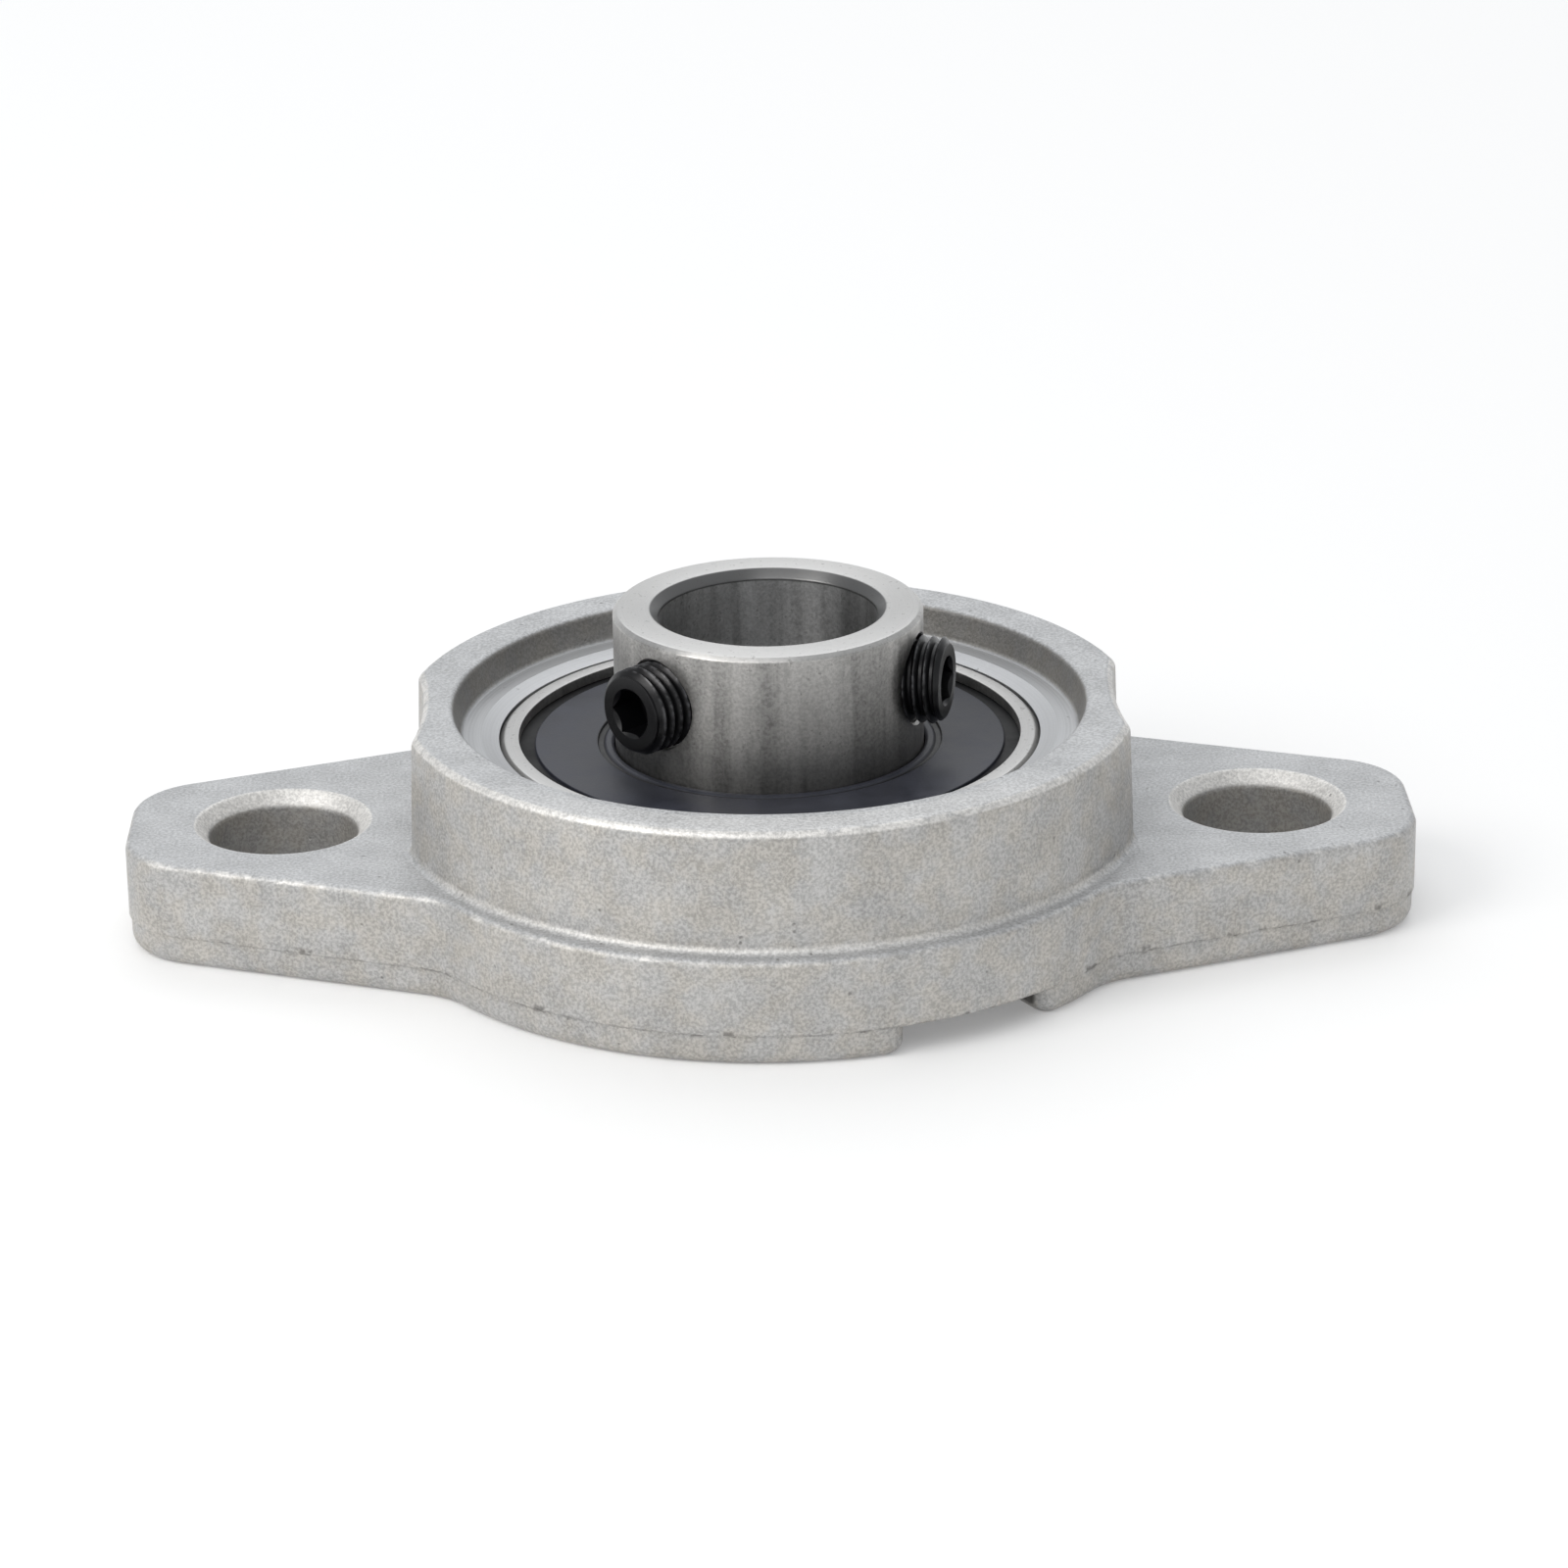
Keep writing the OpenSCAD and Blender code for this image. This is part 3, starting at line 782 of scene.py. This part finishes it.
class Finish:
    """A material with its shader and its Object coordinates in millimetres."""

    def __init__(self, name):
        self.material = bpy.data.materials.new(name)
        self.material.use_nodes = True
        self.tree = self.material.node_tree
        self.shader = self.tree.nodes["Principled BSDF"]
        self.root = Wire(self.tree)
        self.place = self.root.node("ShaderNodeTexCoord", output="Object").scaled(1 / MM)

    def set(self, **sockets):
        """Sets the shader's sockets, named with underscores, to a value or a link."""
        for name, value in sockets.items():
            socket = self.shader.inputs[name.replace("_", " ")]
            if isinstance(value, Wire):
                self.tree.links.new(value.socket, socket)
            else:
                socket.default_value = value

    def relief(self, height):
        """Bump from a height in millimetres."""
        bump = self.root.node("ShaderNodeBump", None, {"Height": height * MM, "Distance": 1.0})
        self.tree.links.new(bump.socket, self.shader.inputs["Normal"])


def zinc_casting():
    """Die-cast zinc: grainy skin, pits, parting line, turned seat, edges partly rubbed and partly
    painted highlight, painted highlights in the bolt-hole mouths, tops painted lighter than walls, and
    painted shade in the hollows.
    """
    finish = Finish("zinc_casting")
    place = finish.place
    x, y, z = place.axes()
    radius = span(x, y)
    up = finish.root.up()
    from_bolt = span(abs(x) - BOLT_X, y)
    slot_lean = math.radians(SLOT_TURN)
    from_slot = abs(x * math.sin(slot_lean) + y * math.cos(slot_lean))

    grain = place.noise(7.0, 3.0, 0.65)
    cloud = place.noise(0.45, 4.0, 0.6)
    patch = place.noise(1.4, 2.0)
    tint = place.noise(0.8, 3.0)
    cell = place.cells(1.3, "Distance")
    chance = place.cells(1.3, "Color").axes()[0]
    pits = (1 - cell.step(0.04, 0.14)) * chance.step(0.66, 0.8)

    above_ledge = z.step(LEDGE_Z + 0.05, LEDGE_Z + 0.25)
    seat = (1 - radius.step(RECESS_FLOOR_R - 0.13, RECESS_FLOOR_R + 0.12)) * (1 - above_ledge)
    in_recess = 1 - radius.step(RECESS_MOUTH_R, RECESS_MOUTH_R + 0.25)
    # Painted shade: the recess wall, the bolt-hole walls and the slot notches' walls are darkened where
    # shade falls
    recess_wall = in_recess * above_ledge * (1 - up.step(0.5, 0.9))
    bolt_wall = 1 - from_bolt.step(BOLT_R + 0.02, BOLT_R + 0.2)
    below_parting = 1 - z.step(PARTING_Z - 0.08, PARTING_Z + 0.08)
    notch = (1 - from_slot.step(NOTCH_W / 2 + 0.02, NOTCH_W / 2 + 0.1)) * below_parting
    painted_shade = (recess_wall * 0.6).or_more(bolt_wall * 0.35).or_more(notch * 0.9)
    # Painted highlight: the bolt holes' coned mouths are lightened all round
    mouth_z = FLANGE_T - BOLT_MOUTH_DEPTH
    mouth = from_bolt.step(BOLT_R + 0.02, BOLT_R + 0.1) * z.step(mouth_z - 0.15, mouth_z + 0.05)
    mouth = mouth * (1 - from_bolt.step(BOLT_MOUTH_R, BOLT_MOUTH_R + 0.1))

    off_recess = radius.step(RECESS_MOUTH_R + 0.4, RECESS_MOUTH_R + 0.7)
    rounded = up.step(0.25, 0.5) * (1 - up.step(0.85, 0.97)) * off_recess
    # The boss's and the flange's top edges: partly rubbed, partly a painted highlight
    boss_edge = rounded * z.step(BOSS_TOP_Z - 0.6, BOSS_TOP_Z - 0.4) * patch.step(0.2, 0.5)
    off_bolt = from_bolt.step(BOLT_MOUTH_R + 0.25, BOLT_MOUTH_R + 0.65)
    flange_edge = rounded * (1 - z.step(FLANGE_T + 0.05, FLANGE_T + 0.2)) * off_bolt
    flange_edge = flange_edge * patch.step(0.45, 0.7) * 0.6
    # Painted highlight along the fillet at the boss's foot
    foot_ring_highlight = (1 - abs(radius - BOSS_BASE_R).step(0.1, 0.35)) * (1 - abs(z - FLANGE_T).step(0.2, 0.4))
    foot_ring_highlight = foot_ring_highlight * (1 - abs(x).step(FLAT_X - 1.2, FLAT_X - 0.2)) * 0.5
    # Painted highlight along the front of the rim
    rim_top = z.step(BOSS_TOP_Z - 0.3, BOSS_TOP_Z - 0.1) * off_recess
    rim_front_highlight = rim_top * (1 - y.step(*RIM_HIGHLIGHT_Y)) * 0.3
    burnish_and_highlight = boss_edge.or_more(flange_edge).or_more(foot_ring_highlight).or_more(rim_front_highlight)

    seam = 1 - abs(z - PARTING_Z).step(0.02, 0.10)
    nicks = (1 - abs(z - PARTING_Z - 0.05).step(0.05, 0.3)) * place.noise(0.9, 2.0).step(0.6, 0.66)
    outside = radius.step(RECESS_MOUTH_R + 0.5, RECESS_MOUTH_R + 0.7) * (1 - abs(up).step(0.3, 0.5))
    parting = (seam * patch.step(0.46, 0.64) * 0.4 + nicks * 0.6) * outside

    skin = grain.step(0.36, 0.64) * 0.7 + cloud.step(0.3, 0.7) * 0.3
    warm = skin.mix(grey(0.335, 0.045), grey(0.58, 0.04))
    cool = skin.mix(grey(0.335, 0.01), grey(0.58, 0.01))
    wall = tint.step(0.35, 0.65).mix(warm, cool)
    top = skin.mix(grey(0.36, -0.01), grey(0.62, -0.01))
    # Upward faces are painted lighter and cooler than the walls: painted light from above
    cast = up.step(0.4, 0.9).mix(wall, top)
    bright = skin.mix(grey(0.56, 0.02), grey(0.88, 0.02))
    # Lightened together: rubbed edges, and painted highlights on the edges, the fillet, the rim front
    # and the bolt-hole mouths
    rubbed_and_highlit = (burnish_and_highlight * 0.9).or_more(mouth * 0.9).mix(cast, bright)
    ring_lines = finish.root.vector(radius, 0, z).noise(9.0, 3.0, 0.7)
    machined = ring_lines.mix(grey(0.38, -0.015), grey(0.62, -0.015))
    base = seat.mix(rubbed_and_highlit, machined)
    marks = (pits * (1 - seat) * 0.5).or_more(parting)
    # The painted shade in the hollows and the real pits and parting marks take one dark grey
    colour = painted_shade.or_more(marks).mix(base, grey(0.09, 0.05))

    rough = 0.50 + (grain - 0.5) * 0.25 - burnish_and_highlight * 0.06 - seat * 0.14
    relief = (
        (grain * 0.03 + patch * 0.03 + cloud * 0.05) * (1 - seat * 0.85)
        - pits * 0.03
        - parting * 0.05
        + ring_lines * seat * 0.008
    )
    finish.set(Base_Color=colour, Metallic=0.5, Roughness=rough)
    finish.relief(relief)
    return finish.material


def ground_steel():
    """Bearing steel: bright turned faces, painted shade on the bore's chamfer, and sides streaked along
    the axis, darker outside the bore and darkest towards the collar's foot.
    """
    finish = Finish("ground_steel")
    place = finish.place
    x, y, z = place.axes()
    radius = span(x, y)
    face = abs(finish.root.up()).step(0.4, 0.9)
    bore = 1 - radius.step(BORE_R + 0.05, BORE_R + 0.3)
    # Darker towards the collar's foot
    foot = (1 - z.step(*COLLAR_DARKENING_Z)) * radius.step(BORE_R + 0.3, BORE_R + 0.6)
    lines = finish.root.vector(radius, 0, z).noise(12.0, 3.0, 0.7)
    streaks = finish.root.vector(x, y, z * 0.06).noise(0.8, 4.0, 0.6)
    mottle = place.noise(3.2, 4.0, 0.7)
    grain = place.noise(7.0, 3.0, 0.65)
    specks = mottle.step(0.58, 0.7)
    fine_tone = mottle.step(0.3, 0.7) * 0.2 + grain.step(0.36, 0.64) * 0.3
    side_tone = streaks.step(0.34, 0.66) * 0.5 + fine_tone
    darker_side = side_tone.mix(grey(0.23, 0.02), grey(0.62, 0.02))
    bright = side_tone.mix(grey(0.33), grey(0.72))
    side = bore.mix((foot * 0.45).mix(darker_side, grey(0.12)), bright)
    turned_tone = lines * 0.5 + mottle * 0.5
    turned_face = turned_tone.mix(grey(0.46, 0.01), grey(0.74, 0.01))
    # Painted shade: the bore's chamfer is darkened
    mouth_z = COLLAR_TOP_Z - BORE_CHAMFER
    chamfer_shade = 1 - radius.step(BORE_R + BORE_CHAMFER - 0.05, BORE_R + BORE_CHAMFER + 0.05)
    chamfer_shade = chamfer_shade * z.step(mouth_z - 0.14, mouth_z - 0.06)
    shown = chamfer_shade.mix(face.mix(side, turned_face), grey(0.17))
    colour = (specks * 0.5).mix(shown, grey(0.13, 0.04))
    finish.set(Base_Color=colour, Metallic=1.0, Roughness=0.25 + mottle * 0.16 + lines * 0.08)
    finish.set(Anisotropic=0.6, Anisotropic_Rotation=0.25)
    finish.relief(lines * 0.004 + mottle * 0.005)
    return finish.material


def polished_steel():
    finish = Finish("ball_steel")
    smear = finish.place.noise(1.2, 3.0)
    finish.set(
        Base_Color=smear.mix(grey(0.66), grey(0.8, -0.01)), Metallic=1.0, Roughness=0.06 + smear * 0.08
    )
    return finish.material


def pressed_sheet(name, dark, light):
    """Sheet steel as it leaves the press: cloudy, with short scuffs."""
    finish = Finish(name)
    cloud = finish.place.noise(0.8, 4.0, 0.6)
    scuffs = finish.place.noise(6.0, 2.0)
    shade = cloud * 0.7 + scuffs * 0.3
    finish.set(Base_Color=shade.mix(dark, light), Metallic=1.0, Roughness=0.3 + cloud * 0.2)
    finish.relief(scuffs * 0.004)
    return finish.material


def nitrile_rubber():
    """Blue-black moulded rubber, satin, with a faint dusty bloom, and painted shade in the matt sunk
    band and the lip's groove.
    """
    finish = Finish("seal_rubber")
    x, y, _ = finish.place.axes()
    radius = span(x, y)
    band = radius.step(SEAL_FACE_OUT_R - 0.03, SEAL_FACE_OUT_R + 0.06)
    lip_groove_shade = 1 - abs(radius - (SEAL_BEAD_OUT_R + SEAL_FACE_IN_R) / 2).step(0.12, 0.22)
    bloom = finish.place.noise(0.6, 4.0, 0.6).step(0.35, 0.75)
    skin = finish.place.noise(9.0, 2.0)
    satin = bloom.mix((0.024, 0.026, 0.036, 1.0), (0.042, 0.045, 0.060, 1.0))
    # Painted shade: the sunk band and the lip's groove are darkened nearly to black
    colour = band.or_more(lip_groove_shade).mix(satin, (0.005, 0.005, 0.006, 1.0))
    rough = 0.34 + bloom * 0.12 + skin * 0.06 + band * 0.2
    finish.set(Base_Color=colour, Roughness=rough, Specular_IOR_Level=0.35)
    finish.relief(skin * 0.004)
    return finish.material


def black_oxide():
    """Blackened steel, lighter on the thread's crests, partly rubbed and partly a painted highlight."""
    finish = Finish("black_oxide")
    crest = finish.root.node("ShaderNodeAttribute", {"attribute_name": "crest_wear"}, output="Fac")
    cloud = finish.place.noise(3.0, 3.0)
    # Crests lightened: partly rubbed, partly a painted highlight
    rubbed_and_highlit = crest.step(0.4, 0.95) * cloud.step(0.35, 0.65)
    colour = rubbed_and_highlit.mix((0.005, 0.005, 0.006, 1.0), (0.085, 0.085, 0.09, 1.0))
    finish.set(Base_Color=colour, Metallic=0.4, Roughness=0.26 + cloud * 0.12 - rubbed_and_highlit * 0.06)
    finish.relief(cloud * 0.004)
    return finish.material


def dress(piece, finish, body, slot, *nodes, smooth_angle=SMOOTH_ANGLE):
    """Brings a piece to metres, evens its shading, gives it its finish and ties it to the frame."""
    activate(piece)
    piece.scale = (MM, MM, MM)
    bpy.ops.object.transform_apply(location=True, rotation=True, scale=True)
    bpy.ops.object.shade_smooth_by_angle(angle=math.radians(smooth_angle))
    even = piece.modifiers.new("even_shading", "WEIGHTED_NORMAL")
    even.keep_sharp = True
    bpy.ops.object.modifier_apply(modifier=even.name)
    piece.data.materials.clear()
    piece.data.materials.append(finish)
    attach(piece, body)
    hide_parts(*nodes)


def repaint(finish, *nodes):
    """Gives CAD nodes that keep their own shape a finish."""
    for name in nodes:
        for holder in frame["nodes"][name].material_slots:
            holder.material = finish


def seen_directly(root):
    """1 for rays from the camera, and for those that metal or glass sends on."""
    def path(kind):
        return root.node("ShaderNodeLightPath", output=kind)
    return path("Is Camera Ray").or_more(path("Is Glossy Ray")).or_more(path("Is Transmission Ray"))


def pale_room(horizon, zenith):
    """Even light from all round, paler at the horizon than overhead."""
    world = bpy.data.worlds.new("pale_room")
    world.use_nodes = True
    bpy.context.scene.world = world
    tree = world.node_tree
    height = Wire(tree).node("ShaderNodeTexCoord", output="Generated").axes()[2]
    colour = height.step(0.05, 0.35).mix(horizon, zenith)
    tree.links.new(colour.socket, tree.nodes["Background"].inputs["Color"])


def pale_floor(size, tone, lift):
    """A white floor that keeps the shadow. The lift is seen, and lights nothing."""
    bpy.ops.object.select_all(action="DESELECT")
    bpy.ops.mesh.primitive_plane_add(size=size, location=(0, 0, 0))
    floor = bpy.context.object
    floor.name = "floor"
    finish = Finish("floor")
    finish.set(Base_Color=(tone, tone, tone, 1.0), Roughness=0.9, Specular_IOR_Level=0.0)
    glow = seen_directly(finish.root).mix((0.0, 0.0, 0.0, 1.0), (lift, lift, lift, 1.0))
    finish.set(Emission_Color=glow, Emission_Strength=1.0)
    floor.data.materials.append(finish.material)


def softbox(name, place, size, power, colour):
    """A square lamp that looks at the middle of the part."""
    data = bpy.data.lights.new(name, "AREA")
    data.size = size
    data.energy = power
    data.color = colour
    lamp = bpy.data.objects.new(name, data)
    bpy.context.scene.collection.objects.link(lamp)
    lamp.location = place
    lamp.rotation_mode = "QUATERNION"
    lamp.rotation_quaternion = (-Vector(place)).to_track_quat("-Z", "Y")


def photo_camera():
    """The photograph's viewpoint."""
    elevation = math.radians(CAMERA_ELEVATION)
    azimuth = math.radians(CAMERA_AZIMUTH)
    level = math.cos(elevation)
    back = Vector((math.sin(azimuth) * level, -math.cos(azimuth) * level, math.sin(elevation)))
    right = Vector((0, 0, 1)).cross(back).normalized()
    up = back.cross(right)
    eye = right * CAMERA_AIM_RIGHT + up * CAMERA_AIM_UP + back * CAMERA_DISTANCE
    roll = Matrix.Rotation(math.radians(CAMERA_ROLL), 3, back)
    data = bpy.data.cameras.new("photo_camera")
    data.sensor_width = SENSOR_W
    data.lens = CAMERA_LENS
    data.clip_start = 0.01
    camera = bpy.data.objects.new("photo_camera", data)
    bpy.context.scene.collection.objects.link(camera)
    turn = Matrix((roll @ right, roll @ up, back)).transposed().to_4x4()
    camera.matrix_world = Matrix.Translation(eye * MM) @ turn
    bpy.context.scene.camera = camera


# Finishes
zinc = zinc_casting()
steel = ground_steel()
rubber = nitrile_rubber()
oxide = black_oxide()
repaint(polished_steel(), *[name for name in frame["nodes"] if name.startswith("ball_")])
cage_sheet = pressed_sheet("cage_sheet", grey(0.40, 0.05), grey(0.58, 0.04))
repaint(cage_sheet, "cage_upper", "cage_lower", "cage_rivets")
repaint(pressed_sheet("core_sheet", grey(0.36), grey(0.5)), "front_seal_core", "rear_seal_core")

# Pieces
casting = housing_casting()
dress(casting, zinc, "housing", "zinc_casting", "housing", smooth_angle=CASTING_SMOOTH_ANGLE)
dress(outer_ring(), steel, "outer_ring", "ground_steel", "outer_ring")
dress(inner_ring(), steel, "inner_ring", "ground_steel", "inner_ring")
front_seal = seal_rubber()
rear_seal = copy_of(front_seal, "rear_seal_moulding")
put(front_seal, (0, 0, SEAT_Z))
put(rear_seal, (0, 0, SEAT_Z), (180, 0, 0))
dress(front_seal, rubber, "outer_ring", "seal_rubber", "front_seal_rubber")
dress(rear_seal, rubber, "outer_ring", "seal_rubber", "rear_seal_rubber")
right_screw = set_screw()
right_screw.name = "right_screw_threaded"
left_screw = copy_of(right_screw, "left_screw_threaded")
for side, screw in (("left", left_screw), ("right", right_screw)):
    bearing = math.radians(SCREW_DIRECTIONS[side])
    tip_r = BORE_R + SCREW_SETBACKS[side]
    tip = (tip_r * math.cos(bearing), tip_r * math.sin(bearing), SCREW_Z)
    put(screw, tip, (0, 90, SCREW_DIRECTIONS[side]))
    node = "set_screw_" + side
    dress(screw, oxide, node, "black_oxide", node)

# Studio
pale_room(horizon=(0.80, 0.81, 0.82, 1.0), zenith=(0.50, 0.51, 0.52, 1.0))
pale_floor(size=4.0, tone=0.80, lift=0.20)
softbox("left_light", (-0.24, -0.18, 0.24), 0.20, 0.6, (1.0, 0.985, 0.96))
softbox("front_light", (-0.05, -0.36, 0.42), 0.28, 0.5, (1.0, 0.99, 0.98))
softbox("back_light", (0.0, 0.30, 0.38), 0.45, 0.7, (0.98, 0.99, 1.0))
photo_camera()
bpy.context.scene.view_settings.view_transform = "Standard"
